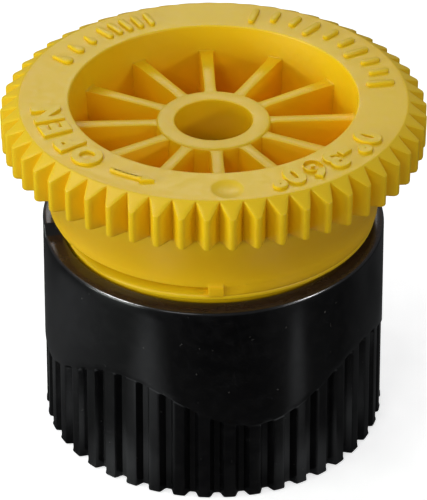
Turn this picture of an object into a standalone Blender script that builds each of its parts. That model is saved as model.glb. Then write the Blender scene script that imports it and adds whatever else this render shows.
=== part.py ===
"""Adjustable-arc spray nozzle that screws on the riser of a pop-up sprinkler.

The black collar screws on the riser. A port plate with a hollow centre post snaps into the collar, and a
helical seat ring sits round it. The knurled deflector turns on the post: its helical lower edge climbs the
seat ring, so that the spray slot between the two opens round the nozzle. A screw down the post raises a
throttle disc under the ports, which shortens the throw.

Sizes are in millimetres and azimuths in degrees from +X, counter-clockwise from above. The front is -Y.
"""

import math

import bmesh
import bpy

MM = 0.001

# Collar
COLLAR_BOTTOM_RADIUS = 10.0
COLLAR_TOP_RADIUS = 9.75
COLLAR_EDGE = 0.12
GRIP_RIBS = 43
GRIP_FIRST_AT = 7.45
GRIP_DEPTH = 0.45
GRIP_CREST_SHARE = 0.40
GRIP_FLANK_SHARE = 0.20
SCALLOPS = 4
SCALLOP_MIDDLE = 6.3
SCALLOP_SWING = 1.28
SCALLOP_LOW_AT = 284.0
GRIP_RUN_OUT = 0.30
SOCKET_RADIUS = 7.95
SOCKET_MOUTH_RADIUS = 8.30
SOCKET_CHAMFER = 0.45
SOCKET_DEPTH = 7.0
INLET_RADIUS = 6.2
PLATE_LEDGE = 8.2
CHAMBER_RADIUS = 7.9
SEAT_LEDGE = 11.4
SEAT_POCKET_RADIUS = 8.65
LAND_INNER_RADIUS = 8.75
LAND_LOW = 12.50
LAND_STEP_AT = 190.5

# Helix shared by the land, the seat ring and the deflector
PITCH = 0.70
STEP_HALF_ANGLE = 0.25

# Seat ring
SEAT_STEP_AT = 211.0
SEAT_LIP_RADIUS = 9.24
SEAT_LIP_LOW = 13.06
SEAT_LIP_THICK = 0.29
SEAT_LIP_THIN = 0.05
SEAT_RUN_IN = 42.0
SEAT_NECK_RADIUS = 8.52
SEAT_INNER_RADIUS = 7.30
SEAT_CREST_RADIUS = 8.62
SEAT_CONE_SLOPE = 0.45

# Deflector
TOP_HEIGHT = 20.60
TEETH = 55
TOOTH_TIP_RADIUS = 11.87
TOOTH_ROOT_RADIUS = 10.90
TOOTH_TIP_SHARE = 0.26
TOOTH_BOTTOM = 18.10
FLAT_EDGE_RADIUS = 10.90
FLAT_EDGE_NOTCH = 0.10
TOOTH_CHAMFER = 0.50
RECESS_RADIUS = 8.03
RECESS_FLOOR_RADIUS = 7.70
RECESS_FLOOR = 15.20
WEB_UNDERSIDE = 14.40
HUB_TOP = 19.06
HUB_RADIUS = 3.15
HUB_ROOT_RADIUS = 3.45
HUB_BORE_RADIUS = 2.18
HUB_LEDGE = 14.05
HUB_LOWER_BORE_RADIUS = 1.72
HUB_BOTTOM = 12.90
HUB_BOTTOM_RADIUS = 3.9
SPOKES = 12
SPOKE_TOP = 19.00
SPOKE_HALF_TOP = 0.26
SPOKE_HALF_FOOT = 0.40
SPOKE_WIDENING = 0.10
SPOKE_FIRST_AT = 93.0
BOWL = ((10.78, 18.10), (10.24, 16.80), (9.74, 15.70), (9.47, 14.90), (9.38, 14.45))
DEFLECTOR_EDGE_RADIUS = 9.32
DEFLECTOR_EDGE_ROUND = 0.08
DEFLECTOR_LIP_INNER_RADIUS = 8.50
DEFLECTOR_SEAT_GAP = 0.02
TAB_FROM = 268.3
TAB_TO = 273.4
TAB_PROUD = 0.14
TAB_TOP = 14.14
MARK_RAISE = 0.18
ARROW_FROM = 235.0
ARROW_NECK = 246.5
ARROW_TIP = 251.0
ARROW_RING = 9.52
ARROW_HALF_SHAFT = 0.11
ARROW_HALF_HEAD = 0.34
DIMPLE_AT = 274.4
DIMPLE_RING = 9.68
DIMPLE_RADIUS = 0.85
DIMPLE_DEPTH = 0.10

# Port plate and post
PLATE_RADIUS = 7.60
PLATE_BOTTOM = 8.30
PLATE_TOP = 9.70
PORTS = 6
PORT_RADIUS = 1.10
PORT_RING = 4.00
POST_FOOT_RADIUS = 3.00
POST_SHOULDER = 12.60
POST_RADIUS = 1.55
POST_TOP = 16.20
POST_BORE_RADIUS = 1.00
CLIP_GROOVE = (15.46, 15.84)
CLIP_GROOVE_RADIUS = 1.28

# Pieces on the post
WASHER_RADIUS = 2.06
WASHER_BOTTOM = 14.08
WASHER_THICK = 0.35
SPRING_BOTTOM = 14.46
SPRING_HEIGHT = 0.88
SPRING_STRIP = 0.12
SPRING_WAVES = 3
CLIP_INNER_RADIUS = 1.33
CLIP_OUTER_RADIUS = 2.00
CLIP_OPENING = 70.0
POST_RUNNING_RADIUS = 1.62

# Radius screw and throttle disc
SCREW_RADIUS = 0.85
SCREW_HEAD_RADIUS = 1.48
SCREW_HEAD_BOTTOM = 16.24
SCREW_HEAD_TOP = 16.90
SCREW_SLOT_WIDTH = 0.42
SCREW_SLOT_DEPTH = 0.36
SCREW_SLOT_AT = 35.0
SCREW_END = 5.30
DISC_RADIUS = 5.20
DISC_BOTTOM = 5.70
DISC_TOP = 6.70
DISC_BORE_RADIUS = 0.92
PIN_RADIUS = 0.50
PIN_TOP = 9.20

# Riser gasket
GASKET_INNER_RADIUS = 6.30
GASKET_OUTER_RADIUS = 7.60
GASKET_BOTTOM = 5.95
GASKET_TOP = 6.92

FINE = 96
MEDIUM = 60
COARSE = 36


def start_clean():
    for obj in list(bpy.data.objects):
        bpy.data.objects.remove(obj, do_unlink=True)


def material(name, colour, roughness, metallic=0.0):
    made = bpy.data.materials.new(name)
    made.use_nodes = True
    shader = made.node_tree.nodes["Principled BSDF"]
    shader.inputs["Base Color"].default_value = (*colour, 1.0)
    shader.inputs["Roughness"].default_value = roughness
    shader.inputs["Metallic"].default_value = metallic
    return made


def even(count, first=0.0):
    return [first + 360.0 * index / count for index in range(count)]


def with_steps(angles, steps):
    """The azimuths with a close pair put at each step, and those too near a step left out."""
    kept = [angle for angle in angles if all(abs(angle - step) > 1.0 for step in steps)]
    pairs = [step + side for step in steps for side in (-STEP_HALF_ANGLE, STEP_HALF_ANGLE)]
    return sorted(kept + pairs)


def ring(angles, radius, height):
    """One loop of points; the radius and the height may each be a number or a function of the azimuth."""
    points = []
    for angle in angles:
        r = radius(angle) if callable(radius) else radius
        z = height(angle) if callable(height) else height
        turned = math.radians(angle)
        points.append((angle, (r * math.cos(turned), r * math.sin(turned), z)))
    return points


def zip_loops(mesh, first, second):
    """Joins two loops of vertices, which may differ in count, by walking both round the axis."""
    angles_a, verts_a = first
    angles_b, verts_b = second
    if angles_a == angles_b:
        count = len(verts_a)
        for i in range(count):
            j = (i + 1) % count
            mesh.faces.new((verts_a[i], verts_a[j], verts_b[j], verts_b[i]))
        return
    i = j = 0
    while i < len(verts_a) or j < len(verts_b):
        next_a = angles_a[i + 1] if i + 1 < len(angles_a) else angles_a[0] + 360.0
        next_b = angles_b[j + 1] if j + 1 < len(angles_b) else angles_b[0] + 360.0
        a = verts_a[i % len(verts_a)]
        b = verts_b[j % len(verts_b)]
        if j >= len(verts_b) or (i < len(verts_a) and next_a <= next_b):
            mesh.faces.new((a, verts_a[(i + 1) % len(verts_a)], b))
            i += 1
        else:
            mesh.faces.new((a, verts_b[(j + 1) % len(verts_b)], b))
            j += 1


def finish(mesh, name, look, helper=False, sharp=35.0):
    bmesh.ops.recalc_face_normals(mesh, faces=mesh.faces)
    data = bpy.data.meshes.new(name)
    mesh.to_mesh(data)
    mesh.free()
    obj = bpy.data.objects.new(name, data)
    bpy.context.scene.collection.objects.link(obj)
    if helper:
        obj.hide_render = True
        obj.display_type = "WIRE"
        return obj
    obj.data.materials.append(look)
    data.shade_smooth()
    data.set_sharp_from_angle(angle=math.radians(sharp))
    return obj


def add_skin(mesh, loops, caps=False):
    """Skins a list of loops into a closed body: round on itself, or capped at the first and last loop."""
    made = []
    for points in loops:
        angles = [angle for angle, _ in points]
        verts = [mesh.verts.new([MM * value for value in place]) for _, place in points]
        made.append((angles, verts))
    for first, second in zip(made, made[1:]):
        zip_loops(mesh, first, second)
    if caps:
        mesh.faces.new(made[0][1])
        mesh.faces.new(made[-1][1])
    else:
        zip_loops(mesh, made[-1], made[0])


def skin(name, loops, look, caps=False, helper=False, sharp=35.0):
    mesh = bmesh.new()
    add_skin(mesh, loops, caps)
    return finish(mesh, name, look, helper, sharp)


def turned(profile, count, first=0.0):
    """Loops of a plain turned shape from (radius, height) pairs."""
    return [ring(even(count, first), radius, height) for radius, height in profile]


def add_block(mesh, corners):
    """A six-sided block from its four bottom corners followed by the four above them."""
    verts = [mesh.verts.new([MM * value for value in corner]) for corner in corners]
    for face in ((0, 1, 2, 3), (4, 5, 6, 7), (0, 1, 5, 4), (1, 2, 6, 5), (2, 3, 7, 6), (3, 0, 4, 7)):
        mesh.faces.new([verts[index] for index in face])


def add_prism(mesh, outline, low, high):
    """An upright prism over an outline given as (radius, azimuth) pairs."""
    foot = [mesh.verts.new([MM * v for v in at(radius, azimuth, 0.0, low)]) for radius, azimuth in outline]
    head = [mesh.verts.new([MM * v for v in at(radius, azimuth, 0.0, high)]) for radius, azimuth in outline]
    mesh.faces.new(foot)
    mesh.faces.new(head)
    for index in range(len(outline)):
        other = (index + 1) % len(outline)
        mesh.faces.new((foot[index], foot[other], head[other], head[index]))


def at(radius, azimuth, across, height):
    """The point at this distance along an azimuth, moved sideways across it."""
    turned_by = math.radians(azimuth)
    along = (math.cos(turned_by), math.sin(turned_by))
    return (radius * along[0] - across * along[1], radius * along[1] + across * along[0], height)


def combine(obj, helper, operation):
    modifier = obj.modifiers.new(helper.name, "BOOLEAN")
    modifier.operation = operation
    modifier.solver = "EXACT"
    modifier.object = helper


def past(azimuth, step):
    """How far round an azimuth lies past a step, from 0 to 360."""
    return (azimuth - step) % 360.0


def land_height(azimuth):
    return LAND_LOW + PITCH * past(azimuth, LAND_STEP_AT) / 360.0


def seat_helix(azimuth):
    return SEAT_LIP_LOW + PITCH * past(azimuth, SEAT_STEP_AT) / 360.0


def seat_lip_bottom(azimuth):
    """Height of the lip's lower edge, which sweeps up to meet the step instead of ending in a corner."""
    short = max(0.0, 1.0 - past(azimuth, SEAT_STEP_AT) / SEAT_RUN_IN)
    return seat_helix(azimuth) + PITCH * short**2


def seat_lip_top(azimuth):
    return max(seat_helix(azimuth) + SEAT_LIP_THICK, seat_lip_bottom(azimuth) + SEAT_LIP_THIN)


def cone_rise(radius):
    """How far the mating cones of the seat lip and the deflector rise from the lip's edge to a smaller radius."""
    return SEAT_CONE_SLOPE * (SEAT_LIP_RADIUS - radius)


def deflector_edge(azimuth):
    """Height of the deflector's helical lower edge: it rests on the seat lip, and drops at the tab."""
    climbed = past(azimuth, TAB_TO)
    if climbed > 360.0 - (TAB_TO - TAB_FROM):
        climbed = 0.0
    return seat_lip_top(TAB_TO) + DEFLECTOR_SEAT_GAP + PITCH * climbed / 360.0


def in_tab(azimuth):
    return TAB_FROM < azimuth < TAB_TO


def grip_height(azimuth):
    """Height of the scalloped border between the grip ribs and the smooth band."""
    return SCALLOP_MIDDLE - SCALLOP_SWING * math.cos(math.radians(SCALLOPS * (azimuth - SCALLOP_LOW_AT)))


def collar_radius(height):
    return COLLAR_BOTTOM_RADIUS + (COLLAR_TOP_RADIUS - COLLAR_BOTTOM_RADIUS) * height / LAND_LOW


def grip_sink(azimuth):
    """How deep the grip grooves go in at an azimuth: none on a crest, all of it on a groove's floor."""
    phase = ((azimuth - GRIP_FIRST_AT) * GRIP_RIBS / 360.0 + 0.5) % 1.0
    from_crest = abs(phase - 0.5)
    return GRIP_DEPTH * min(1.0, max(0.0, (from_crest - GRIP_CREST_SHARE / 2) / GRIP_FLANK_SHARE))


def grip_angles():
    pitch = 360.0 / GRIP_RIBS
    half = GRIP_CREST_SHARE / 2
    marks = (-half - GRIP_FLANK_SHARE, -half, half, half + GRIP_FLANK_SHARE)
    return [GRIP_FIRST_AT + pitch * (rib + mark) for rib in range(GRIP_RIBS) for mark in marks]


def collar(look):
    grip = grip_angles()
    helix = with_steps(even(FINE, 1.0), (LAND_STEP_AT,))
    plain = even(MEDIUM)

    def foot(inset):
        return ring(grip, lambda a: COLLAR_BOTTOM_RADIUS - inset - grip_sink(a), inset)

    def border(sunk, below):
        return ring(
            grip,
            lambda a: collar_radius(grip_height(a)) - sunk * grip_sink(a),
            lambda a: grip_height(a) - below,
        )

    loops = [
        foot(COLLAR_EDGE),
        border(1.0, GRIP_RUN_OUT),
        border(0.0, 0.0),
        ring(helix, COLLAR_TOP_RADIUS, lambda a: land_height(a) - COLLAR_EDGE),
        ring(helix, COLLAR_TOP_RADIUS - COLLAR_EDGE, land_height),
        ring(helix, LAND_INNER_RADIUS, land_height),
        ring(helix, SEAT_POCKET_RADIUS, lambda a: land_height(a) - COLLAR_EDGE),
        ring(plain, SEAT_POCKET_RADIUS, SEAT_LEDGE),
        ring(plain, CHAMBER_RADIUS, SEAT_LEDGE),
        ring(plain, CHAMBER_RADIUS, PLATE_LEDGE),
        ring(plain, INLET_RADIUS, PLATE_LEDGE),
        ring(plain, INLET_RADIUS, SOCKET_DEPTH),
        ring(plain, SOCKET_RADIUS, SOCKET_DEPTH),
        ring(plain, SOCKET_RADIUS, SOCKET_CHAMFER),
        ring(plain, SOCKET_MOUTH_RADIUS, 0.0),
        ring(grip, lambda a: COLLAR_BOTTOM_RADIUS - COLLAR_EDGE - grip_sink(a), 0.0),
    ]
    return skin("base_collar", loops, look)


def seat_ring(look):
    helix = with_steps(even(FINE, 1.0), (SEAT_STEP_AT,))
    plain = even(MEDIUM)

    def under(radius):
        return ring(helix, radius, seat_lip_bottom)

    def over(radius):
        return ring(helix, radius, lambda a: seat_lip_top(a) + cone_rise(radius))

    loops = [
        ring(plain, SEAT_NECK_RADIUS, SEAT_LEDGE + 0.05),
        under(SEAT_NECK_RADIUS),
        under(SEAT_LIP_RADIUS),
        over(SEAT_LIP_RADIUS),
        over(SEAT_CREST_RADIUS),
        ring(helix, SEAT_INNER_RADIUS, seat_helix),
        ring(plain, SEAT_INNER_RADIUS, SEAT_LEDGE + 0.05),
    ]
    return skin("seat_ring", loops, look)


def tooth_angles():
    pitch = 360.0 / TEETH
    marks = (TOOTH_TIP_SHARE / 2, 0.5, 1.0 - TOOTH_TIP_SHARE / 2)
    return [pitch * (tooth + mark) for tooth in range(TEETH) for mark in marks]


def tooth_reach(azimuth):
    """0 at the bottom of a groove, 1 on the tip of a tooth."""
    phase = (azimuth * TEETH / 360.0) % 1.0
    return 0.0 if abs(phase - 0.5) < 0.1 else 1.0


def spokes_helper():
    mesh = bmesh.new()
    foot = RECESS_FLOOR - 0.3
    inner, outer = 2.7, 8.5
    for index in range(SPOKES):
        azimuth = SPOKE_FIRST_AT + 360.0 * index / SPOKES
        corners = []
        for half, height in ((SPOKE_HALF_FOOT, foot), (SPOKE_HALF_TOP, SPOKE_TOP)):
            for radius, side in ((inner, -1), (outer, -1), (outer, 1), (inner, 1)):
                wide = half + (SPOKE_WIDENING if radius == outer else 0.0)
                corners.append(at(radius, azimuth, side * wide, height))
        add_block(mesh, corners)
    return finish(mesh, "spokes_helper", None, helper=True)


def marks_helper():
    """The raised arrow on the top face that shows which way opens the arc."""
    bends = 4
    turn = [ARROW_FROM + (ARROW_NECK - ARROW_FROM) * index / bends for index in range(bends + 1)]
    outline = [(ARROW_RING + ARROW_HALF_SHAFT, azimuth) for azimuth in turn]
    outline += [
        (ARROW_RING + ARROW_HALF_HEAD, ARROW_NECK),
        (ARROW_RING, ARROW_TIP),
        (ARROW_RING - ARROW_HALF_HEAD, ARROW_NECK),
    ]
    outline += [(ARROW_RING - ARROW_HALF_SHAFT, azimuth) for azimuth in reversed(turn)]
    mesh = bmesh.new()
    add_prism(mesh, outline, TOP_HEIGHT - 0.2, TOP_HEIGHT + MARK_RAISE)
    return finish(mesh, "marks_helper", None, helper=True)


def dimple_helper():
    loops = []
    for height, radius in ((TOP_HEIGHT - DIMPLE_DEPTH, DIMPLE_RADIUS - 0.15), (TOP_HEIGHT + 0.3, DIMPLE_RADIUS + 0.3)):
        centre = at(DIMPLE_RING, DIMPLE_AT, 0.0, 0.0)
        points = ring(even(COARSE), radius, height)
        loops.append([(a, (x + centre[0], y + centre[1], z)) for a, (x, y, z) in points])
    return skin("dimple_helper", loops, None, caps=True, helper=True)


def deflector(look):
    teeth = tooth_angles()
    plain = even(MEDIUM)
    inner = even(COARSE)
    helix = with_steps(even(FINE, 1.0), (TAB_FROM, TAB_TO))

    def flat_edge(azimuth):
        return FLAT_EDGE_RADIUS - FLAT_EDGE_NOTCH * (1.0 - tooth_reach(azimuth))

    def tooth_radius(azimuth):
        return TOOTH_ROOT_RADIUS - 0.08 + (TOOTH_TIP_RADIUS - TOOTH_ROOT_RADIUS + 0.08) * tooth_reach(azimuth)

    def proud(radius):
        return lambda a: radius + (TAB_PROUD if in_tab(a) else 0.0)

    loops = [
        ring(inner, HUB_BORE_RADIUS, HUB_LEDGE),
        ring(inner, HUB_BORE_RADIUS, HUB_TOP - 0.15),
        ring(inner, HUB_BORE_RADIUS + 0.15, HUB_TOP),
        ring(inner, HUB_RADIUS - 0.15, HUB_TOP),
        ring(inner, HUB_RADIUS, HUB_TOP - 0.15),
        ring(inner, HUB_ROOT_RADIUS, RECESS_FLOOR),
        ring(plain, RECESS_FLOOR_RADIUS, RECESS_FLOOR),
        ring(plain, RECESS_RADIUS - 0.06, TOP_HEIGHT - 0.08),
        ring(plain, RECESS_RADIUS, TOP_HEIGHT),
        ring(teeth, flat_edge, TOP_HEIGHT),
        ring(teeth, tooth_radius, TOP_HEIGHT - TOOTH_CHAMFER),
        ring(teeth, tooth_radius, TOOTH_BOTTOM),
    ]
    loops += [ring(helix, radius, height) for radius, height in BOWL]
    loops += [
        ring(helix, proud(BOWL[-1][0]), TAB_TOP),
        ring(helix, proud(DEFLECTOR_EDGE_RADIUS), lambda a: deflector_edge(a) + DEFLECTOR_EDGE_ROUND),
        ring(helix, proud(DEFLECTOR_EDGE_RADIUS - DEFLECTOR_EDGE_ROUND), deflector_edge),
        ring(
            helix,
            DEFLECTOR_LIP_INNER_RADIUS,
            lambda a: deflector_edge(a) + cone_rise(DEFLECTOR_LIP_INNER_RADIUS),
        ),
        ring(plain, DEFLECTOR_LIP_INNER_RADIUS - 0.5, WEB_UNDERSIDE),
        ring(inner, HUB_BOTTOM_RADIUS + 0.3, WEB_UNDERSIDE),
        ring(inner, HUB_BOTTOM_RADIUS - 0.4, HUB_BOTTOM),
        ring(inner, HUB_LOWER_BORE_RADIUS, HUB_BOTTOM),
        ring(inner, HUB_LOWER_BORE_RADIUS, HUB_LEDGE),
    ]
    body = skin("arc_deflector", loops, look)
    combine(body, spokes_helper(), "UNION")
    combine(body, marks_helper(), "UNION")
    combine(body, dimple_helper(), "DIFFERENCE")
    return body


def ports_helper():
    mesh = bmesh.new()
    for index in range(PORTS):
        centre = at(PORT_RING, 360.0 * index / PORTS, 0.0, 0.0)
        loops = []
        for height in (PLATE_BOTTOM - 0.5, PLATE_TOP + 0.5):
            points = ring(even(20), PORT_RADIUS, height)
            loops.append([(a, (x + centre[0], y + centre[1], z)) for a, (x, y, z) in points])
        add_skin(mesh, loops, caps=True)
    return finish(mesh, "ports_helper", None, helper=True)


def port_plate(look):
    groove_low, groove_high = CLIP_GROOVE
    profile = (
        (POST_BORE_RADIUS, PLATE_BOTTOM),
        (PLATE_RADIUS, PLATE_BOTTOM),
        (PLATE_RADIUS, PLATE_TOP - 0.2),
        (PLATE_RADIUS - 0.2, PLATE_TOP),
        (POST_FOOT_RADIUS - 0.3, PLATE_TOP),
        (POST_FOOT_RADIUS - 0.5, POST_SHOULDER),
        (POST_RADIUS, POST_SHOULDER),
        (POST_RADIUS, groove_low),
        (CLIP_GROOVE_RADIUS, groove_low),
        (CLIP_GROOVE_RADIUS, groove_high),
        (POST_RADIUS, groove_high),
        (POST_RADIUS, POST_TOP - 0.15),
        (POST_RADIUS - 0.15, POST_TOP),
        (POST_BORE_RADIUS, POST_TOP),
    )
    body = skin("port_plate_and_post", turned(profile, COARSE), look)
    combine(body, ports_helper(), "DIFFERENCE")
    return body


def thrust_washer(look):
    top = WASHER_BOTTOM + WASHER_THICK
    profile = (
        (POST_RUNNING_RADIUS, WASHER_BOTTOM),
        (WASHER_RADIUS, WASHER_BOTTOM),
        (WASHER_RADIUS, top),
        (POST_RUNNING_RADIUS, top),
    )
    return skin("thrust_washer", turned(profile, COARSE), look)


def wave_spring(look):
    swing = (SPRING_HEIGHT - SPRING_STRIP) / 2

    def face(above):
        middle = SPRING_BOTTOM + swing + above
        return lambda a: middle + swing * math.sin(math.radians(SPRING_WAVES * a))

    angles = even(48)
    inner = POST_RUNNING_RADIUS + 0.04
    outer = WASHER_RADIUS - 0.04
    loops = [
        ring(angles, inner, face(0.0)),
        ring(angles, outer, face(0.0)),
        ring(angles, outer, face(SPRING_STRIP)),
        ring(angles, inner, face(SPRING_STRIP)),
    ]
    return skin("wave_spring", loops, look)


def retaining_clip(look):
    """A split ring snapped in the groove near the top of the post."""
    mesh = bmesh.new()
    low = CLIP_GROOVE[0] + 0.03
    high = CLIP_GROOVE[1] - 0.03
    start = CLIP_OPENING / 2
    stations = 24
    sections = []
    for index in range(stations + 1):
        azimuth = start + (360.0 - CLIP_OPENING) * index / stations
        outline = (
            (CLIP_INNER_RADIUS, low),
            (CLIP_OUTER_RADIUS, low),
            (CLIP_OUTER_RADIUS, high),
            (CLIP_INNER_RADIUS, high),
        )
        sections.append([mesh.verts.new([MM * v for v in at(r, azimuth, 0.0, z)]) for r, z in outline])
    for first, second in zip(sections, sections[1:]):
        for i in range(4):
            j = (i + 1) % 4
            mesh.faces.new((first[i], first[j], second[j], second[i]))
    mesh.faces.new(sections[0])
    mesh.faces.new(sections[-1])
    return finish(mesh, "retaining_clip", look)


def radius_screw(look):
    profile = (
        (SCREW_RADIUS - 0.2, SCREW_END),
        (SCREW_RADIUS, SCREW_END + 0.2),
        (SCREW_RADIUS, SCREW_HEAD_BOTTOM),
        (SCREW_HEAD_RADIUS, SCREW_HEAD_BOTTOM),
        (SCREW_HEAD_RADIUS, SCREW_HEAD_TOP - 0.12),
        (SCREW_HEAD_RADIUS - 0.12, SCREW_HEAD_TOP),
    )
    body = skin("radius_screw", turned(profile, COARSE), look, caps=True)
    mesh = bmesh.new()
    reach = SCREW_HEAD_RADIUS + 0.5
    corners = []
    for height in (SCREW_HEAD_TOP - SCREW_SLOT_DEPTH, SCREW_HEAD_TOP + 0.5):
        for along, side in ((-reach, -1), (reach, -1), (reach, 1), (-reach, 1)):
            corners.append(at(along, SCREW_SLOT_AT, side * SCREW_SLOT_WIDTH / 2, height))
    add_block(mesh, corners)
    combine(body, finish(mesh, "slot_helper", None, helper=True), "DIFFERENCE")
    return body


def pins_helper():
    mesh = bmesh.new()
    for azimuth in (0.0, 180.0):
        centre = at(PORT_RING, azimuth, 0.0, 0.0)
        loops = []
        for height in (DISC_TOP - 0.4, PIN_TOP):
            points = ring(even(16), PIN_RADIUS, height)
            loops.append([(a, (x + centre[0], y + centre[1], z)) for a, (x, y, z) in points])
        add_skin(mesh, loops, caps=True)
    return finish(mesh, "pins_helper", None, helper=True)


def throttle_disc(look):
    profile = (
        (DISC_BORE_RADIUS, DISC_BOTTOM),
        (DISC_RADIUS - 0.2, DISC_BOTTOM),
        (DISC_RADIUS, DISC_BOTTOM + 0.2),
        (DISC_RADIUS, DISC_TOP),
        (DISC_BORE_RADIUS, DISC_TOP),
    )
    body = skin("throttle_disc", turned(profile, COARSE), look)
    combine(body, pins_helper(), "UNION")
    return body


def riser_gasket(look):
    profile = (
        (GASKET_INNER_RADIUS, GASKET_BOTTOM),
        (GASKET_OUTER_RADIUS, GASKET_BOTTOM),
        (GASKET_OUTER_RADIUS, GASKET_TOP),
        (GASKET_INNER_RADIUS, GASKET_TOP),
    )
    return skin("riser_gasket", turned(profile, MEDIUM), look)


def build():
    start_clean()
    collar(material("black_collar", (0.012, 0.012, 0.014), 0.22))
    seat_ring(material("yellow_seat", (0.68, 0.46, 0.03), 0.38))
    deflector(material("yellow_deflector", (0.70, 0.48, 0.03), 0.38))
    port_plate(material("black_port_plate", (0.020, 0.020, 0.022), 0.35))
    thrust_washer(material("white_washer", (0.80, 0.78, 0.72), 0.45))
    wave_spring(material("steel_spring", (0.55, 0.55, 0.56), 0.25, 1.0))
    retaining_clip(material("steel_clip", (0.50, 0.50, 0.52), 0.28, 1.0))
    radius_screw(material("steel_screw", (0.58, 0.57, 0.55), 0.30, 1.0))
    throttle_disc(material("black_disc", (0.030, 0.030, 0.032), 0.40))
    riser_gasket(material("gasket_rubber", (0.015, 0.015, 0.015), 0.80))


build()
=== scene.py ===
"""Looks for the adjustable-arc spray nozzle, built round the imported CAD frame.

Shapes are in millimetres until a mesh is made; lights, camera and textures are in metres. Azimuths are
degrees from +X, counter-clockwise from above; the front, towards the camera, is -Y.
"""

import math

import bmesh
import bpy
import numpy as np
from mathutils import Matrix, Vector


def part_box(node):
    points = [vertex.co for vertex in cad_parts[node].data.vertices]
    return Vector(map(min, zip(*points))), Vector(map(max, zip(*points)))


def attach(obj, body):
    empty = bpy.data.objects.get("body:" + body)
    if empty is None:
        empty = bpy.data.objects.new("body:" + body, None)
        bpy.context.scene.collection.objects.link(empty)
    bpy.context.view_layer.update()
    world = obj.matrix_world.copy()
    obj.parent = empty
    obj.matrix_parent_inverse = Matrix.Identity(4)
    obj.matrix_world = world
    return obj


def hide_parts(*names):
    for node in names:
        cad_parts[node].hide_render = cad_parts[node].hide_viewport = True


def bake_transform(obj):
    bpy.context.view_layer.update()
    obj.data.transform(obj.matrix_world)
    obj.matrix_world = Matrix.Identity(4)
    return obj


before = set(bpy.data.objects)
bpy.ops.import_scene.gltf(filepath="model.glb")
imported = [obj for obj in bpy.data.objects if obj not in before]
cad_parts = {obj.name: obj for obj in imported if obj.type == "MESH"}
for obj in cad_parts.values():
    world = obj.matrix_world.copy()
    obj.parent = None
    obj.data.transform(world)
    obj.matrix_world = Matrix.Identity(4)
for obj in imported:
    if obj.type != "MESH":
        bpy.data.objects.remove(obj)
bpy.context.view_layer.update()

MM = 0.001

# Deflector. The marks are raised strokes and letters on its top face
TOP, MARK_TOP, HUB_TOP, SPOKE_TOP, RECESS_FLOOR = 20.60, 20.775, 19.06, 19.00, 15.20
HUB_BORE, HUB_RADIUS, HUB_FOOT = 2.18, 3.19, 3.44
RECESS_FOOT, RECESS_RIM = 7.70, 8.03
SPOKES, FIRST_SPOKE_AT, SPOKE_HUB_END, SPOKE_WALL_END = 12, 93.0, 3.10, 7.98
TEETH, TIP_RADIUS, ROOT_RADIUS, TOOTH_BOTTOM = 55, 11.86, 10.86, 18.10
FLAT_EDGE, CHAMFER_DROP = 10.87, 0.50
SKIRT_PROFILE = ((10.80, 18.05), (10.24, 16.80), (9.74, 15.70), (9.47, 14.90), (9.39, 14.50))
DIMPLE_RING, DIMPLE_AT, DIMPLE_RADIUS, DIMPLE_DEPTH = 9.68, 274.4, 0.86, 0.13
MARK_RING, LETTER_FOOT, LETTER_HEIGHT = 9.52, 8.80, 1.46
# For a font size of 1
CAPITAL_HEIGHT, LETTER_HALF_DEPTH, LETTER_BEVEL, LETTER_BOLDER = 0.73, 0.055, 0.020, 0.045
TAB_FROM, TAB_TO, TAB_TOP, TAB_PROUD, SKIRT_FOOT = 268.3, 273.4, 14.14, 0.14, 14.33
UNDERSIDE, SHOULDER, BUSH_FOOT, BUSH_RADIUS, POST_BORE = 14.40, 14.05, 12.90, 3.42, 1.72

# Helical seat and land. Each climbs by the pitch in one turn, from its lowest height at its step
PITCH = 0.70
SEAT_LIP_LOW, SEAT_STEP_AT, SEAT_RUN_IN = 13.06, 211.0, 42.0
SEAT_LIP_RADIUS, SEAT_CREST_RADIUS, SEAT_LIP_THICK, CONE_SLOPE = 9.24, 8.62, 0.285, 0.45
SEAT_OUTSIDE, SEAT_INSIDE, SEAT_FOOT = 8.52, 7.30, 11.45
LAND_LOW, LAND_STEP_AT, LAND_STEP_HALF = 12.50, 190.5, 0.9

# Collar. The border between ribs and smooth band is a wave about its middle height
FOOT_RADIUS, WALL_TAPER = 10.0, 0.25
GRIP_BORDER, GRIP_WAVE, GRIP_WAVE_LOW_AT = 6.3, 1.28, 284.0
GRIP_RIBS, GRIP_DEPTH, GRIP_FIRST_AT, BAND_STEP, GRIP_RUN_OUT = 43, 0.45, 7.45, 0.055, 0.50
SEAT_BORE, SEAT_FLOOR, PLATE_BORE, PLATE_FLOOR = 8.65, 11.40, 7.90, 8.20
WATERWAY, SOCKET_TOP = 6.20, 7.00
THREAD_RADIUS, THREAD_DEPTH, THREAD_PITCH = 7.95, 0.42, 0.907

# Wave spring
SPRING_INNER_RADIUS, SPRING_STRIP, SPRING_WAVES = 1.66, 0.12, 3.0

# Yellow plastic: the painted shade, a deep orange laid where the recess is sheltered and over the lower
# skirt, and where it fades, in metres off the axis and above the foot
PAINTED_SHADE_ORANGE = (0.985, 0.52, 0.001)
RECESS_PAINTED_SHADE_ENDS, SKIRT_PAINTED_SHADE_ENDS, PAINTED_SHADE_REACH = (0.0080, 0.0090), (0.0165, 0.0182), 0.0035
# Black plastic: a lighter warm-brown film on level faces, partly dust and partly a painted reflection of the
# yellow parts above, and specks
DUST_AND_PAINTED_REFLECTION = ((0.024, 0.014, 0.009), (0.038, 0.024, 0.016))
SPECK = (0.08, 0.08, 0.078)

# Camera, fitted to the ellipses of the photo
CAMERA_DISTANCE, CAMERA_ELEVATION, CAMERA_PITCH, CAMERA_LENS = 0.14197, 30.35, 33.811, 183.8
# Where the lights aim
MIDDLE = (0.0, 0.0, 0.012)


def past(azimuth, step):
    """How far round an azimuth lies past a step, from 0 to 360."""
    return np.mod(azimuth - step, 360.0)


def smooth(x):
    """Eases from 0 to 1 as x does, and stays level outside."""
    x = np.clip(x, 0.0, 1.0)
    return x * x * (3.0 - 2.0 * x)


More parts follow.
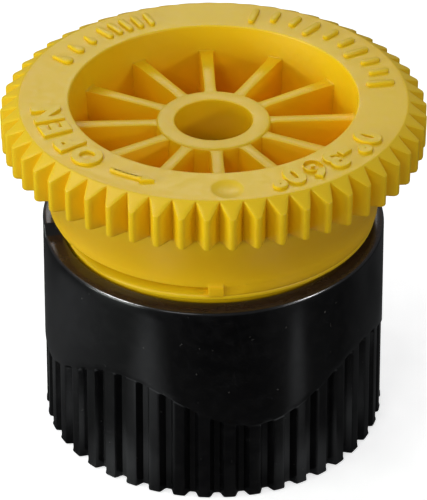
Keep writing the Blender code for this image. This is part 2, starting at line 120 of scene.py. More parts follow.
def azimuth_row(count, steps=(), gap=0.05):
    """Azimuths of one turn, with a close pair, one gap to each side, at each step."""
    angles = np.arange(count) * 360.0 / count
    for step in steps:
        angles = angles[np.abs(angles - step) > gap * 2]
    pairs = [step + side for step in steps for side in (-gap, gap)]
    return np.sort(np.concatenate([angles, pairs]))


def polar(radius, azimuth):
    """X and Y of a point at this radius and azimuth."""
    turn = math.radians(azimuth)
    return radius * math.cos(turn), radius * math.sin(turn)


def link(obj):
    """Puts an object in the scene and hands it back."""
    bpy.context.scene.collection.objects.link(obj)
    return obj


def mesh_object(name, points, faces, look, sharp):
    """A smooth-shaded object from millimetre points, creased where faces meet at more than sharp degrees."""
    data = bpy.data.meshes.new(name)
    data.from_pydata([tuple(p) for p in np.asarray(points, float) * MM], [], faces)
    data.update()
    work = bmesh.new()
    work.from_mesh(data)
    bmesh.ops.recalc_face_normals(work, faces=work.faces)
    work.to_mesh(data)
    work.free()
    data.shade_smooth()
    data.set_sharp_from_angle(angle=math.radians(sharp))
    data.materials.append(look)
    return link(bpy.data.objects.new(name, data))


def turned_grid(azimuths, rows):
    """Points and quads of a surface turned round +Z from rows of (radius, height).

    Each is a number or an array over the azimuths. The last row joins back to the first.
    """
    count = len(azimuths)
    turn = np.radians(azimuths)
    points = []
    for radius, height in rows:
        r = np.broadcast_to(radius, (count,))
        z = np.broadcast_to(height, (count,))
        points.append(np.stack([r * np.cos(turn), r * np.sin(turn), z], 1))
    faces = []
    for v in range(len(rows)):
        w = (v + 1) % len(rows)
        for u in range(count):
            t = (u + 1) % count
            faces.append((v * count + u, v * count + t, w * count + t, w * count + u))
    return np.concatenate(points), faces


def rounded(corners, segments=5):
    """Points along an open outline of (radius, height, fillet) corners, each fillet drawn as an arc."""
    out = []
    last = len(corners) - 1
    for index, (r, z, fillet) in enumerate(corners):
        if index in (0, last) or fillet <= 0:
            out.append((r, z))
            continue
        here = np.array([r, z])
        before = np.array(corners[index - 1][:2]) - here
        after = np.array(corners[index + 1][:2]) - here
        before /= np.linalg.norm(before)
        after /= np.linalg.norm(after)
        half = math.acos(max(-1.0, min(1.0, float(before @ after)))) / 2
        reach = fillet / math.tan(half)
        bisector = before + after
        bisector /= np.linalg.norm(bisector)
        centre = here + bisector * fillet / math.sin(half)
        start = here + before * reach - centre
        end = here + after * reach - centre
        sweep = math.acos(max(-1.0, min(1.0, float(start @ end) / fillet**2)))
        for step in range(segments + 1):
            t = step / segments
            weight_a = math.sin((1 - t) * sweep) / math.sin(sweep)
            weight_b = math.sin(t * sweep) / math.sin(sweep)
            out.append(tuple(centre + start * weight_a + end * weight_b))
    return out


# ---------------------------------------------------------------- materials


class Nodes:
    """A small helper to build one material's node tree."""

    def __init__(self, name):
        self.material = bpy.data.materials.new(name)
        self.material.use_nodes = True
        self.tree = self.material.node_tree
        self.shader = self.tree.nodes["Principled BSDF"]
        self.place = self.tree.nodes.new("ShaderNodeTexCoord").outputs["Object"]

    def add(self, kind, **settings):
        """A new node with these attributes."""
        node = self.tree.nodes.new(kind)
        for key, value in settings.items():
            setattr(node, key, value)
        return node

    def wire(self, source, target):
        """Links an output socket to an input socket."""
        self.tree.links.new(source, target)

    def noise(self, scale, detail=3.0, roughness=0.5, stretch=None):
        """Noise over the object's own coordinates, with the scale in waves a metre."""
        node = self.add("ShaderNodeTexNoise")
        node.inputs["Scale"].default_value = scale
        node.inputs["Detail"].default_value = detail
        node.inputs["Roughness"].default_value = roughness
        place = self.place
        if stretch:
            mapping = self.add("ShaderNodeMapping")
            mapping.inputs["Scale"].default_value = stretch
            self.wire(self.place, mapping.inputs["Vector"])
            place = mapping.outputs["Vector"]
        self.wire(place, node.inputs["Vector"])
        return node.outputs["Fac"]

    def span(self, value, low, high, from_low=0.35, from_high=0.65):
        """Maps a value from its own range, by default that of noise, to low and high."""
        node = self.add("ShaderNodeMapRange")
        node.inputs["From Min"].default_value = from_low
        node.inputs["From Max"].default_value = from_high
        node.inputs["To Min"].default_value = low
        node.inputs["To Max"].default_value = high
        self.wire(value, node.inputs["Value"])
        return node.outputs["Result"]

    def math(self, operation, first, second=0.0):
        """One operation on two values, each a float or a socket."""
        node = self.add("ShaderNodeMath", operation=operation)
        for socket, value in zip(node.inputs, (first, second)):
            if isinstance(value, float):
                socket.default_value = value
            else:
                self.wire(value, socket)
        return node.outputs["Value"]

    def blend_rgb(self, factor, first, second):
        """Mixes two colours, each a tuple or a socket."""
        node = self.add("ShaderNodeMix", data_type="RGBA")
        colours = [socket for socket in node.inputs if socket.type == "RGBA"]
        factors = [socket for socket in node.inputs if socket.type == "VALUE"]
        self.wire(factor, factors[0])
        for socket, value in zip(colours, (first, second)):
            if isinstance(value, tuple):
                socket.default_value = (*value, 1.0)
            else:
                self.wire(value, socket)
        return [socket for socket in node.outputs if socket.type == "RGBA"][0]

    def bump(self, layers):
        """Stacks bump layers of (height, strength, distance in metres)."""
        normal = None
        for height, strength, distance in layers:
            node = self.add("ShaderNodeBump")
            node.inputs["Strength"].default_value = strength
            node.inputs["Distance"].default_value = distance
            self.wire(height, node.inputs["Height"])
            if normal is not None:
                self.wire(normal, node.inputs["Normal"])
            normal = node.outputs["Normal"]
        self.wire(normal, self.shader.inputs["Normal"])


def yellow_plastic(name, skirt_painted_shade, deep=(0.93, 0.60, 0.004), pale=(0.95, 0.635, 0.007)):
    """Satin moulded yellow with faint flow marks and a fine moulded texture.

    Shade is painted into the colour: it turns a deep orange where ambient occlusion finds the recess
    sheltered, and over the skirt below the teeth, most over the skirt's lower part.
    """
    m = Nodes(name)
    flow = m.noise(160.0, 4.0, 0.55)
    open_places = m.blend_rgb(m.span(flow, 0.0, 1.0), deep, pale)
    # Painted shade: ambient occlusion marks the sheltered places of the recess, and the colour there is
    # pulled towards deep orange
    shelter = m.add("ShaderNodeAmbientOcclusion", samples=8)
    shelter.inputs["Distance"].default_value = PAINTED_SHADE_REACH
    depth = m.span(shelter.outputs["AO"], 1.0, 0.0, 0.28, 0.88)
    split = m.add("ShaderNodeSeparateXYZ")
    m.wire(m.place, split.inputs["Vector"])
    squares = [m.math("POWER", split.outputs[axis], 2.0) for axis in "XY"]
    off_axis = m.math("SQRT", m.math("ADD", *squares))
    recess = m.math("MULTIPLY", depth, m.span(off_axis, 1.0, 0.08, *RECESS_PAINTED_SHADE_ENDS))
    # Painted shade over the skirt below the teeth: full below 16.5 mm, gone by 18.2 mm
    skirt = m.span(split.outputs["Z"], skirt_painted_shade, 0.0, *SKIRT_PAINTED_SHADE_ENDS)
    painted_shade = m.math("MAXIMUM", recess, skirt)
    m.wire(m.blend_rgb(painted_shade, open_places, PAINTED_SHADE_ORANGE), m.shader.inputs["Base Color"])
    grain = m.noise(2600.0, 3.0, 0.6)
    m.wire(m.span(grain, 0.30, 0.42), m.shader.inputs["Roughness"])
    m.shader.inputs["IOR"].default_value = 1.48
    m.shader.inputs["Subsurface Weight"].default_value = 0.12
    m.shader.inputs["Subsurface Radius"].default_value = (1.0, 0.55, 0.08)
    m.shader.inputs["Subsurface Scale"].default_value = 0.0007
    m.bump([(grain, 0.10, 0.00002), (flow, 0.05, 0.00004)])
    return m.material


def black_plastic(name, rough=(0.13, 0.24), clean=(0.0015, 0.0015, 0.0018), worn=(0.006, 0.006, 0.0066)):
    """Glossy black moulded plastic with flow marks, scratches, specks, and on level faces a warm-brown film
    that is partly dust and partly a painted reflection.
    """
    m = Nodes(name)
    flow = m.noise(220.0, 4.0, 0.6)
    dust = m.noise(1400.0, 6.0, 0.7)
    plain = m.blend_rgb(m.span(dust, 0.0, 1.0, 0.45, 0.75), clean, worn)
    facing = m.add("ShaderNodeSeparateXYZ")
    m.wire(m.add("ShaderNodeNewGeometry").outputs["Normal"], facing.inputs["Vector"])
    specks = m.span(m.noise(3200.0, 2.0, 0.5), 0.0, 1.0, 0.73, 0.80)
    plain = m.blend_rgb(specks, plain, SPECK)
    # Partly dust, partly painted reflection: faces that turn upwards get a lighter warm-brown film, standing
    # in for the yellow parts and the light above that they mirror
    level = m.span(facing.outputs["Z"], 0.0, 1.0, 0.80, 0.98)
    dust_and_reflection = m.blend_rgb(m.span(dust, 0.0, 1.0), *DUST_AND_PAINTED_REFLECTION)
    m.wire(m.blend_rgb(level, plain, dust_and_reflection), m.shader.inputs["Base Color"])
    m.wire(m.span(flow, *rough), m.shader.inputs["Roughness"])
    m.shader.inputs["IOR"].default_value = 1.46
    scratches = m.noise(900.0, 2.0, 0.5, (1.0, 1.0, 0.12))
    m.bump([(scratches, 0.05, 0.00002), (flow, 0.10, 0.00005)])
    return m.material


def metal(name, colour, rough=(0.18, 0.34)):
    """Turned stainless steel: fine rings from the lathe over a soft mottle."""
    m = Nodes(name)
    mottle = m.noise(1500.0, 4.0, 0.6)
    rings = m.noise(6000.0, 2.0, 0.5, (1.0, 1.0, 0.05))
    darker = tuple(0.8 * value for value in colour)
    m.wire(m.blend_rgb(m.span(mottle, 0.0, 1.0), darker, colour), m.shader.inputs["Base Color"])
    m.shader.inputs["Metallic"].default_value = 1.0
    m.wire(m.span(rings, *rough), m.shader.inputs["Roughness"])
    m.bump([(rings, 0.08, 0.00001)])
    return m.material


def soft_plastic(name, dark, light, rough):
    """A matte moulded or rubbery surface with a fine grain."""
    m = Nodes(name)
    grain = m.noise(2000.0, 4.0, 0.6)
    m.wire(m.blend_rgb(m.span(grain, 0.0, 1.0), dark, light), m.shader.inputs["Base Color"])
    m.wire(m.span(grain, *rough), m.shader.inputs["Roughness"])
    m.bump([(grain, 0.15, 0.00002)])
    return m.material


# ---------------------------------------------------------------- deflector


def cone_rise(radius):
    """How far the mating cones of the seat and the deflector rise from the lip's edge to a smaller radius."""
    return CONE_SLOPE * (SEAT_LIP_RADIUS - radius)


def deflector_edge(azimuth):
    """Height of the deflector's helical lower edge, which drops at the tab."""
    clearance = 0.025
    tab_lip = SEAT_LIP_LOW + PITCH * ((TAB_TO - SEAT_STEP_AT) % 360.0) / 360.0 + SEAT_LIP_THICK + clearance
    climbed = past(azimuth, TAB_TO)
    climbed = np.where(climbed > 360.0 - (TAB_TO - TAB_FROM), 0.0, climbed)
    return tab_lip + PITCH * climbed / 360.0


def tooth_reach(azimuth):
    """0 in the middle of a groove and 1 on a tooth's tip, with softened corners."""
    samples, width, tip_half_share = 401, 41, 0.105
    phase = np.linspace(0.0, 1.0, samples)
    from_tip = np.minimum(phase, 1.0 - phase)
    sharp = np.clip((0.5 - from_tip) / (0.5 - tip_half_share), 0.0, 1.0)
    padded = np.concatenate([sharp[-width - 1 : -1], sharp, sharp[1 : width + 1]])
    kernel = np.hanning(width)
    softened = np.convolve(padded, kernel / kernel.sum(), "same")[width:-width]
    return np.interp(np.mod(azimuth * TEETH / 360.0, 1.0), phase, softened)


def dimple_sink(radius, azimuth):
    """Depth of the shallow dish in the top face."""
    middle_x, middle_y = polar(DIMPLE_RING, DIMPLE_AT)
    x = radius * np.cos(np.radians(azimuth)) - middle_x
    y = radius * np.sin(np.radians(azimuth)) - middle_y
    return DIMPLE_DEPTH * np.clip(1.0 - (np.hypot(x, y) / DIMPLE_RADIUS) ** 2, 0.0, 1.0) ** 0.8


def deflector_rows(az):
    """The deflector's section: bore, hub, recess, top face, teeth, skirt, tab and underside."""
    reach = tooth_reach(az)
    tip = ROOT_RADIUS - 0.02 + (TIP_RADIUS - ROOT_RADIUS + 0.02) * reach
    inside = [
        (HUB_BORE, SHOULDER, 0),
        (HUB_BORE, HUB_TOP, 0.07),
        (HUB_RADIUS, HUB_TOP, 0.13),
        (HUB_FOOT, RECESS_FLOOR, 0.45),
        (RECESS_FOOT, RECESS_FLOOR, 0.55),
        (RECESS_RIM, TOP, 0.10),
        (8.60, TOP, 0),
    ]
    rows = rounded(inside)[:-1]
    rows += [(radius, TOP - dimple_sink(radius, az)) for radius in np.arange(8.30, 10.80, 0.14)]
    edge = np.minimum(tip, FLAT_EDGE)
    out = tip - edge

    def on_chamfer(share):
        return TOP - CHAMFER_DROP * out * share / (TIP_RADIUS - FLAT_EDGE)

    rows += [
        (edge - 0.10, TOP),
        (edge - 0.035, TOP - 0.006),
        (edge + 0.012, TOP - 0.030),
        (edge + out * 0.30, on_chamfer(0.30) - 0.025),
        (edge + out * 0.65, on_chamfer(0.65) - 0.025),
        (tip - 0.055, on_chamfer(1.0) - 0.030),
        (tip - 0.014, on_chamfer(1.0) - 0.062),
        (tip, on_chamfer(1.0) - 0.12),
        (tip, 19.4 - 0.2 * reach),
        (tip, 18.7),
        (tip, TOOTH_BOTTOM + 0.16),
        (tip - 0.03 * reach, TOOTH_BOTTOM + 0.05),
        (tip - 0.12 * reach, TOOTH_BOTTOM),
        (ROOT_RADIUS - 0.03 + (tip - ROOT_RADIUS) * 0.4, TOOTH_BOTTOM - 0.01),
        (10.80, TOOTH_BOTTOM - 0.05),
    ]
    skirt = np.array(SKIRT_PROFILE)
    curve = np.polyfit(skirt[:, 1], skirt[:, 0], 3)
    rows += [(float(np.polyval(curve, height)), height) for height in np.linspace(17.95, 14.50, 18)]
    edge_height = deflector_edge(az)
    tab = smooth((np.minimum(az - TAB_FROM, TAB_TO - az)) / 0.25 + 0.5) * TAB_PROUD
    # The skirt sinks a little just past the tab, so that the tab's far side shows
    beside = smooth((az - TAB_TO - 0.1) / 0.3) * smooth((TAB_TO + 9.0 - az) / 5.0) * 0.06
    low = edge_height + 0.10
    # The ledge where the skirt ends, then the tab's face or the rim's, down to the edge
    ledge = SKIRT_FOOT - TAB_TOP
    top = 14.30 - ledge
    rows += [
        (9.385, 14.44),
        (9.38, 14.40 - ledge * 0.3),
        (9.375 + tab * 0.55, top + 0.065),
        (9.37 + tab * 0.93 - beside, top + 0.045),
        (9.37 + tab - beside, top + 0.01),
        (9.35 + tab - beside, top + (low - top) * 0.4),
        (9.33 + tab - beside, top + (low - top) * 0.8),
        (9.295 + tab, low),
        (9.272 + tab, edge_height + 0.030),
        (SEAT_LIP_RADIUS + 0.01 + tab, edge_height + 0.002),
        (9.12, edge_height + cone_rise(9.12)),
        (8.50, edge_height + cone_rise(8.50)),
        (8.00, UNDERSIDE),
        (4.20, UNDERSIDE),
        (3.50, BUSH_FOOT + 0.02),
        (BUSH_RADIUS, BUSH_FOOT),
        (POST_BORE, BUSH_FOOT),
        (POST_BORE, SHOULDER),
    ]
    return rows


def spoke(azimuth):
    """One rib of the recess: drafted sides, soft top edges, a flare where it meets the hub and the wall."""
    # From inside the hub to inside the wall, closest at the wall, where the top edge bends most
    spans = ((2.9, 3.8, 7), (4.2, 6.6, 7), (6.75, 8.13, 22))
    stations = np.concatenate([np.linspace(*span) for span in spans])
    along = np.array([*polar(1.0, azimuth), 0.0])
    across = np.array([*polar(1.0, azimuth + 90.0), 0.0])
    up = np.array([0.0, 0.0, 1.0])
    points = []
    for radius in stations:
        from_hub, to_wall = radius - SPOKE_HUB_END, SPOKE_WALL_END - radius
        flare = 0.16 * math.exp(-from_hub / 0.22) + 0.14 * math.exp(-to_wall / 0.22)
        sag = 0.03 * math.exp(-from_hub / 0.3) - 0.06 * math.exp(-(to_wall - 0.03) / 0.10)
        widen = 0.06 * from_hub / (SPOKE_WALL_END - SPOKE_HUB_END + 0.02)
        half = 0.315 + widen + flare * 0.8
        foot = 0.43 + widen + flare
        top = SPOKE_TOP - sag
        sides = [
            (half - 0.06, top),
            (half - 0.018, top - 0.018),
            (half, top - 0.06),
            (foot - 0.03, RECESS_FLOOR + 0.25),
            (foot, RECESS_FLOOR - 0.15),
        ]
        section = [(-side, height) for side, height in reversed(sides)] + sides
        points += [along * radius + across * side + up * height for side, height in section]
    size = len(section)
    faces = []
    for station in range(len(stations) - 1):
        for side in range(size - 1):
            a = station * size + side
            faces.append((a, a + 1, a + size + 1, a + size))
    return points, faces


def joined(pieces):
    """One list of points and faces from several."""
    points, faces = [], []
    for more_points, more_faces in pieces:
        base = len(points)
        points += [tuple(p) for p in more_points]
        faces += [tuple(base + i for i in face) for face in more_faces]
    return points, faces


def raised_text(text, middle_azimuth, foot_radius, height, spread):
    """Generic dial lettering that runs clockwise with its tops outwards, raised above the top face."""
    made = []
    for index, letter in enumerate(text):
        where = middle_azimuth + spread * ((len(text) - 1) / 2 - index)
        curve = bpy.data.curves.new("dial_letter", "FONT")
        curve.body = letter
        curve.align_x = "CENTER"
        curve.size = 1.0
        curve.extrude = LETTER_HALF_DEPTH
        curve.bevel_depth = LETTER_BEVEL
        curve.bevel_resolution = 2
        curve.offset = LETTER_BOLDER
        curve.resolution_u = 6
        obj = link(bpy.data.objects.new("dial_letter", curve))
        drawn = obj.evaluated_get(bpy.context.evaluated_depsgraph_get())
        mesh = drawn.to_mesh()
        verts = np.array([v.co for v in mesh.vertices])
        polys = [tuple(p.vertices) for p in mesh.polygons]
        drawn.to_mesh_clear()
        bpy.data.objects.remove(obj)
        scale = height / CAPITAL_HEIGHT
        radius = foot_radius + verts[:, 1] * scale
        turn = np.radians(where) - verts[:, 0] * scale / (foot_radius + height / 2)
        z = MARK_TOP - 0.02 + (verts[:, 2] - LETTER_HALF_DEPTH - LETTER_BEVEL) * 1.6
        points = np.stack([radius * np.cos(turn), radius * np.sin(turn), np.minimum(z, MARK_TOP)], 1)
        made.append((points, polys))
    return made


def cushion_block(outline, top, drop=0.045, soft=0.05, foot=TOP - 0.08):
    """A low raised mark over an outline of (x, y) points: sides, a soft shoulder and a flat top."""
    outline = np.array(outline, float)
    centre = outline.mean(0)
    offset = outline - centre
    length = np.linalg.norm(offset, axis=1, keepdims=True)
    inward = np.clip(1.0 - soft / np.maximum(length, 1e-6), 0.0, 1.0)
    inward_more = np.clip(1.0 - 2.2 * soft / np.maximum(length, 1e-6), 0.0, 1.0)
    rings = [(outline, foot), (outline, top - drop), (centre + offset * inward, top - drop * 0.25)]
    rings.append((centre + offset * inward_more, top))
    points = []
    count = len(outline)
    for ring, height in rings:
        points += [(x, y, height) for x, y in ring]
    faces = []
    for level in range(len(rings) - 1):
        for i in range(count):
            j = (i + 1) % count
            low, high = level * count, (level + 1) * count
            faces.append((low + i, low + j, high + j, high + i))
    faces.append(tuple((len(rings) - 1) * count + i for i in range(count)))
    return points, faces


def bar(radius_a, az_a, radius_b, az_b, width, ends=6):
    """A round-ended stroke between two points of the top face."""
    a, b = np.array(polar(radius_a, az_a)), np.array(polar(radius_b, az_b))
    along = (b - a) / np.linalg.norm(b - a)
    heading = math.atan2(along[1], along[0])
    outline = []
    for centre, start in ((b, heading - math.pi / 2), (a, heading + math.pi / 2)):
        for step in range(ends + 1):
            turn = start + math.pi * step / ends
            outline.append(centre + np.array([math.cos(turn), math.sin(turn)]) * width / 2)
    return outline


def drop_outline(radius, azimuth, size):
    """A water drop with its point outwards."""
    middle = np.array(polar(radius, azimuth))
    outwards, sideways = np.array(polar(1.0, azimuth)), np.array(polar(1.0, azimuth + 90.0))
    outline = []
    for step in range(28):
        t = 2 * math.pi * step / 28
        bulge = (1 - math.cos(t)) / 2
        outline.append(middle + size * (math.cos(t) * outwards + 0.62 * math.sin(t) * bulge**0.9 * sideways))
    return outline


def top_marks():
    """The opening arrow, and generic drops, strokes and scale ticks on the far side of the top face."""
    marks = []
    for start in np.arange(235.5, 246.0, 1.5):
        shaft = bar(MARK_RING, start, MARK_RING, start + 1.7, 0.21)
        marks.append(cushion_block(shaft, MARK_TOP - 0.012, soft=0.03))
    head = [polar(MARK_RING, 251.0), polar(9.20, 246.6), polar(9.84, 246.6)]
    marks.append(cushion_block(head, MARK_TOP - 0.008, soft=0.05))
    for azimuth, size in ((155.0, 0.66), (146.5, 0.58), (138.8, 0.50)):
        marks.append(cushion_block(drop_outline(9.45, azimuth, size), MARK_TOP - 0.005, soft=0.07))
    for azimuth in (131.5, 127.0, 122.5, 118.0, 113.5):
        marks.append(cushion_block(bar(8.95, azimuth, 10.0, azimuth, 0.36), MARK_TOP - 0.005, soft=0.05))
    for index, azimuth in enumerate(np.arange(8.0, 77.0, 7.5)):
        inner = 8.80 if index % 3 == 0 else 9.25
        marks.append(cushion_block(bar(inner, azimuth, 10.05, azimuth, 0.38), MARK_TOP - 0.005, soft=0.05))
    return marks


def build_deflector(look):
    """The yellow knurled ring with its spokes and raised marks, as one mesh."""
    az = azimuth_row(TEETH * 16, (TAB_FROM, TAB_TO))
    pieces = [turned_grid(az, deflector_rows(az))]
    pieces += [spoke(FIRST_SPOKE_AT + 360.0 / SPOKES * index) for index in range(SPOKES)]
    pieces += top_marks()
    pieces += raised_text("OPEN", 208.6, 8.66, 1.50, 10.2)
    for text, azimuth in (("0", 331.3), ("°", 324.6), ("-", 319.3), ("360", 304.9), ("°", 290.6)):
        pieces += raised_text(text, azimuth, LETTER_FOOT, LETTER_HEIGHT, 8.2)
    points, faces = joined(pieces)
    return mesh_object("knurled_deflector", points, faces, look, sharp=40.0)


# ---------------------------------------------------------------- seat ring


def build_seat(look):
    """The yellow helical ring. Its lip sweeps up to the step, which is the arc's fixed edge."""
    az = azimuth_row(720, (SEAT_STEP_AT,))
    helix = SEAT_LIP_LOW + PITCH * past(az, SEAT_STEP_AT) / 360.0
    low = helix + PITCH * np.maximum(0.0, 1.0 - past(az, SEAT_STEP_AT) / SEAT_RUN_IN) ** 2
    top = np.maximum(helix + SEAT_LIP_THICK, low + 0.05)
    thick = top - low
    crest = top + cone_rise(SEAT_CREST_RADIUS)
    rows = [
        (SEAT_OUTSIDE, SEAT_FOOT),
        (SEAT_OUTSIDE, low - 0.12),
        (8.55, low - 0.03),
        (8.64, low),
        (9.12, low),
        (9.18, low + 0.015),
        (9.225, low + thick * 0.22),
        (SEAT_LIP_RADIUS, low + thick * 0.46),
        (SEAT_LIP_RADIUS, low + thick * 0.74),
        (9.226, low + thick * 0.92),
        *((radius, top + cone_rise(radius)) for radius in (9.16, 9.00, 8.72)),
        (SEAT_CREST_RADIUS, crest - 0.02),
        (SEAT_OUTSIDE, crest - 0.06),
        (SEAT_INSIDE + 0.12, helix + 0.02),
        (SEAT_INSIDE + 0.02, helix - 0.09),
        (SEAT_INSIDE, SEAT_FOOT),
    ]
    points, faces = turned_grid(az, rows)
    return mesh_object("spray_seat_ring", points, faces, look, sharp=40.0)


# ---------------------------------------------------------------- collar


def grip_border(azimuth):
    """Height of the wavy edge between the grip ribs and the smooth band, four waves in a turn."""
    return GRIP_BORDER - GRIP_WAVE * np.cos(np.radians(4 * (azimuth - GRIP_WAVE_LOW_AT)))


def grip_sink(azimuth):
    """How deep the grip's grooves are, from 0 on a rib to the full depth in a groove."""
    phase = np.mod((azimuth - GRIP_FIRST_AT) * GRIP_RIBS / 360.0 + 0.5, 1.0)
    from_crest = np.abs(phase - 0.5)
    ramp = np.clip((from_crest - 0.20) / 0.20, 0.0, 1.0)
    return GRIP_DEPTH * smooth(ramp)


def collar_rows(az):
    """The collar's section: foot, ribs, smooth band, land, seat bore, floor and threaded socket."""
    sink = grip_sink(az)
    border = grip_border(az)

    def wall(height):
        return FOOT_RADIUS - WALL_TAPER * height / LAND_LOW

    rows = [(9.40, 0.0), (9.86 - sink, 0.0), (9.94 - sink, 0.03), (9.985 - sink, 0.11)]
    for t in np.linspace(0.03, 1.0, 12):
        height = 0.11 + (border - GRIP_RUN_OUT - 0.11) * t
        rows.append((wall(height) - BAND_STEP - sink, height))
    for t in np.linspace(0.0, 1.0, 14)[1:]:
        height = border - GRIP_RUN_OUT + GRIP_RUN_OUT * t
        fade = 1.0 - smooth((t - 0.15) / 0.85)
        step = BAND_STEP * (1.0 - smooth((t - 0.6) / 0.4))
        rows.append((wall(height) - step - sink * fade, height))
    land = LAND_LOW + PITCH * past(az, LAND_STEP_AT) / 360.0
    for t in np.linspace(0.06, 1.0, 10):
        height = border + (land - 0.22 - border) * t
        rows.append((wall(height), height))
    rows += [
        (9.748, land - 0.20),
        (9.732, land - 0.125),
        (9.692, land - 0.062),
        (9.630, land - 0.020),
        (9.555, land),
        (9.30, land),
        (8.90, land),
        (8.78, land),
        (8.70, land - 0.02),
        (8.66, land - 0.08),
        (SEAT_BORE, land - 0.3),
        (SEAT_BORE, SEAT_FLOOR),
        (PLATE_BORE, SEAT_FLOOR),
        (PLATE_BORE, PLATE_FLOOR),
        (WATERWAY + 0.10, PLATE_FLOOR),
        (WATERWAY, PLATE_FLOOR - 0.10),
        (WATERWAY, SOCKET_TOP + 0.10),
        (WATERWAY + 0.06, SOCKET_TOP),
        (7.90, SOCKET_TOP),
        (THREAD_RADIUS, SOCKET_TOP - 0.10),
    ]
    for height in np.linspace(6.6, 0.55, 54):
        phase = np.mod(height / THREAD_PITCH - az / 360.0, 1.0)
        tooth = np.clip(1.6 * (1.0 - 2.0 * np.abs(phase - 0.5)) - 0.3, 0.0, 1.0)
        fade = smooth((6.5 - height) / 0.5) * smooth((height - 0.5) / 0.6)
        rows.append((THREAD_RADIUS - THREAD_DEPTH * tooth * fade, height))
    rows += [(8.00, 0.42), (8.26, 0.06), (8.34, 0.0)]
    return rows


def build_collar(look):
    """The black collar as one turned mesh, with azimuths close enough for its ribs."""
    az = azimuth_row(GRIP_RIBS * 18, (LAND_STEP_AT,), LAND_STEP_HALF)
    points, faces = turned_grid(az, collar_rows(az))
    return mesh_object("ribbed_collar", points, faces, look, sharp=38.0)


# ---------------------------------------------------------------- wave spring


def build_spring(look):
    """A flat steel ring in three waves, with softened strip edges, filling the box of its CAD node."""
    lowest, highest = (np.array(corner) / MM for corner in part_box("wave_spring"))
    inner, outer, soft = SPRING_INNER_RADIUS, highest[0], 0.02
    az = azimuth_row(144)
    swing = (highest[2] - lowest[2] - SPRING_STRIP) / 2
    under = lowest[2] + swing * (1.0 + np.sin(np.radians(SPRING_WAVES * az)))
    over = under + SPRING_STRIP
    rows = [
        (inner + soft, under),
        (outer - soft, under),
        (outer, under + soft),
        (outer, over - soft),
        (outer - soft, over),
        (inner + soft, over),
        (inner, over - soft),
        (inner, under + soft),
    ]
    points, faces = turned_grid(az, rows)
    spring = mesh_object("three_wave_spring", points, faces, look, sharp=50.0)
    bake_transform(spring)
    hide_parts("wave_spring")
    return spring


# ---------------------------------------------------------------- looks and assembly

yellow = yellow_plastic("yellow_deflector_plastic", 0.40)
yellow_ring = yellow_plastic("yellow_seat_plastic", 0.0)
black = black_plastic("black_collar_plastic")
inner_black = black_plastic("black_post_plastic", (0.28, 0.42), (0.014, 0.014, 0.015))
steel = metal("turned_steel", (0.55, 0.54, 0.52))
spring_steel = metal("spring_steel", (0.50, 0.50, 0.52), (0.15, 0.28))
white = soft_plastic("natural_acetal", (0.62, 0.60, 0.54), (0.72, 0.70, 0.64), (0.40, 0.55))
rubber = soft_plastic("gasket_rubber_look", (0.010, 0.010, 0.010), (0.022, 0.022, 0.022), (0.65, 0.85))

deflector = build_deflector(yellow)
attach(deflector, "deflector")
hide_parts("arc_deflector")

seat = build_seat(yellow_ring)
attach(seat, "nozzle_base")
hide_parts("seat_ring")

collar = build_collar(black)
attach(collar, "nozzle_base")
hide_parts("base_collar")

spring = build_spring(spring_steel)

for node, look in (
    ("port_plate_and_post", inner_black),
    ("throttle_disc", inner_black),
    ("radius_screw", steel),
    ("retaining_clip", spring_steel),
    ("thrust_washer", white),
    ("riser_gasket", rubber),
):
    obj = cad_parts[node]
    obj.data.materials.clear()
    obj.data.materials.append(look)


# ---------------------------------------------------------------- floor, light and camera


def paper(name, dark, light, glow=0.0):
    """Matte paper with a faint fibre, which can glow a little to come out white."""
    m = Nodes(name)
    fibre = m.noise(400.0, 5.0, 0.6)
    shade = m.blend_rgb(m.span(fibre, 0.0, 1.0), dark, light)
    m.wire(shade, m.shader.inputs["Base Color"])
    m.wire(shade, m.shader.inputs["Emission Color"])
    m.shader.inputs["Emission Strength"].default_value = glow
    m.shader.inputs["Roughness"].default_value = 0.9
    return m.material


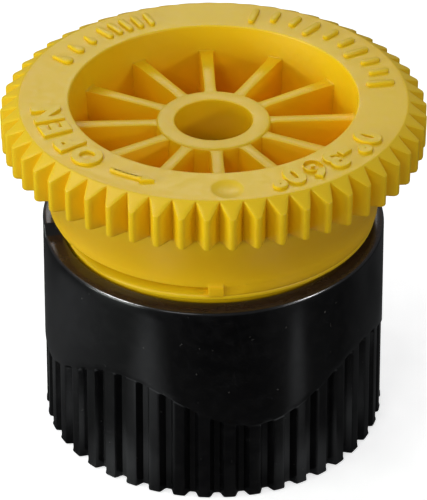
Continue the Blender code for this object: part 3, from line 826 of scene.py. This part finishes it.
def painted_reflection_set(name):
    """A painted reflection for the glossy black collar to mirror: a dim glowing plane with brighter and
    darker places, in place of a lit and shaded grey table.
    """
    m = Nodes(name)
    mottle = m.span(m.noise(90.0, 3.0, 0.55), 0.008, 0.05)

    def place(centre, size, turn, sharpness=1.0):
        """An oval that is 1 in the middle and fades to 0 at its edge, in millimetres and degrees."""
        mapping = m.add("ShaderNodeMapping", vector_type="TEXTURE")
        mapping.inputs["Location"].default_value = (centre[0] * MM, centre[1] * MM, 0.0)
        mapping.inputs["Scale"].default_value = (size[0] * MM, size[1] * MM, 1.0)
        mapping.inputs["Rotation"].default_value = (0.0, 0.0, math.radians(turn))
        m.wire(m.place, mapping.inputs["Vector"])
        ball = m.add("ShaderNodeTexGradient", gradient_type="SPHERICAL")
        m.wire(mapping.outputs["Vector"], ball.inputs["Vector"])
        node = m.add("ShaderNodeMapRange", interpolation_type="SMOOTHSTEP")
        node.inputs["From Max"].default_value = sharpness
        m.wire(ball.outputs["Fac"], node.inputs["Value"])
        return node.outputs["Result"]

    # Painted reflection: glowing ovals that the collar mirrors as lighter streaks
    level = mottle
    for centre, size, turn, amount in (
        ((-13.0, -18.5), (14.0, 5.0), 44.0, 0.55),
        ((-24.0, -3.0), (16.0, 14.0), 0.0, 0.17),
        ((16.0, -15.8), (13.0, 2.6), -32.0, 0.42),
        ((30.0, 4.0), (12.0, 9.0), 0.0, 0.05),
        ((-7.0, -9.5), (5.0, 3.2), -38.0, 0.50),
        ((7.0, -9.5), (5.0, 3.0), 38.0, 0.35),
    ):
        level = m.math("ADD", level, m.math("MULTIPLY", place(centre, size, turn), amount))
    # Painted shadow: a dark oval in front of the object, which the collar mirrors as its dark middle
    shade = place((1.0, -32.0), (17.0, 15.0), 0.0, 0.5)
    level = m.math("MULTIPLY", level, m.math("SUBTRACT", 1.0, m.math("MULTIPLY", shade, 0.92)))
    m.shader.inputs["Base Color"].default_value = (0.0, 0.0, 0.0, 1.0)
    m.shader.inputs["Emission Color"].default_value = (0.93, 0.97, 1.0, 1.0)
    m.wire(level, m.shader.inputs["Emission Strength"])
    return m.material


def stage_plane(name, height, look, seen=False, bounced=False, mirrored=False):
    """A wide plane under the object that only one kind of ray meets, and that casts no shadow."""
    reach = 3.0
    corners = [(x * reach, y * reach, height) for x, y in ((-1, -1), (1, -1), (1, 1), (-1, 1))]
    data = bpy.data.meshes.new(name)
    data.from_pydata(corners, [], [(0, 1, 2, 3)])
    data.materials.append(look)
    obj = link(bpy.data.objects.new(name, data))
    obj.visible_camera = seen
    obj.visible_diffuse = bounced
    obj.visible_glossy = mirrored
    obj.visible_shadow = False


pale_paper = paper("pale_paper", (0.93, 0.93, 0.93), (0.96, 0.96, 0.96), 0.64)
warm_table = paper("warm_table", (0.34, 0.25, 0.16), (0.42, 0.31, 0.20))
stage_plane("floor", -0.00001, pale_paper, seen=True)
stage_plane("bounce_table", -0.00002, warm_table, bounced=True)
stage_plane("painted_reflection_plane", -0.00003, painted_reflection_set("painted_reflection_glow"), mirrored=True)


def area_light(name, place, size, power, colour=(1.0, 1.0, 1.0)):
    """A rectangular light that faces the middle of the object."""
    data = bpy.data.lights.new(name, "AREA")
    data.shape = "RECTANGLE"
    data.size, data.size_y = size
    data.energy = power
    data.color = colour
    obj = link(bpy.data.objects.new(name, data))
    obj.location = place
    obj.rotation_euler = (Vector(MIDDLE) - Vector(place)).to_track_quat("-Z", "Y").to_euler()
    return obj


def around(azimuth, elevation, distance):
    """A place this far from the object, in a direction given in degrees."""
    flat = distance * math.cos(math.radians(elevation))
    return polar(flat, azimuth) + (distance * math.sin(math.radians(elevation)),)


area_light("left_softbox", around(206.0, 11.5, 0.26), (0.16, 0.05), 0.335, (0.93, 1.0, 0.95))
area_light("top_softbox", around(165.0, 60.0, 0.26), (0.14, 0.14), 0.125)
area_light("front_softbox", around(246.0, 40.0, 0.26), (0.08, 0.08), 0.075)
area_light("right_softbox", around(322.0, 22.0, 0.28), (0.06, 0.035), 0.090)
area_light("back_softbox", around(95.0, 38.0, 0.30), (0.11, 0.06), 0.075)

# Narrow lights that reach the collar alone, for the glints on its rim
rim = bpy.data.collections.new("rim_glints")
rim.objects.link(collar)
for name, azimuth, width, power in (("left_glint", 196.0, 0.10, 1.0), ("right_glint", 342.0, 0.045, 0.5)):
    glint = area_light(name, around(azimuth, 46.0, 0.26), (width, 0.02), power)
    glint.visible_diffuse = False
    glint.light_linking.receiver_collection = rim

world = bpy.data.worlds.new("studio")
bpy.context.scene.world = world
world.use_nodes = True
sky = world.node_tree.nodes["Background"]
sky.inputs["Color"].default_value = (0.95, 0.97, 1.0, 1.0)
sky.inputs["Strength"].default_value = 0.27

camera_data = bpy.data.cameras.new("camera")
camera_data.sensor_width = 36.0
camera_data.lens = CAMERA_LENS
camera_data.clip_start = 0.01
camera = link(bpy.data.objects.new("camera", camera_data))
elevation = math.radians(CAMERA_ELEVATION)
camera.location = (
    0.0,
    -math.cos(elevation) * CAMERA_DISTANCE,
    TOP * MM + math.sin(elevation) * CAMERA_DISTANCE,
)
camera.rotation_euler = (math.pi / 2 - math.radians(CAMERA_PITCH), 0.0, 0.0)
bpy.context.scene.camera = camera
bpy.context.scene.view_settings.view_transform = "Standard"
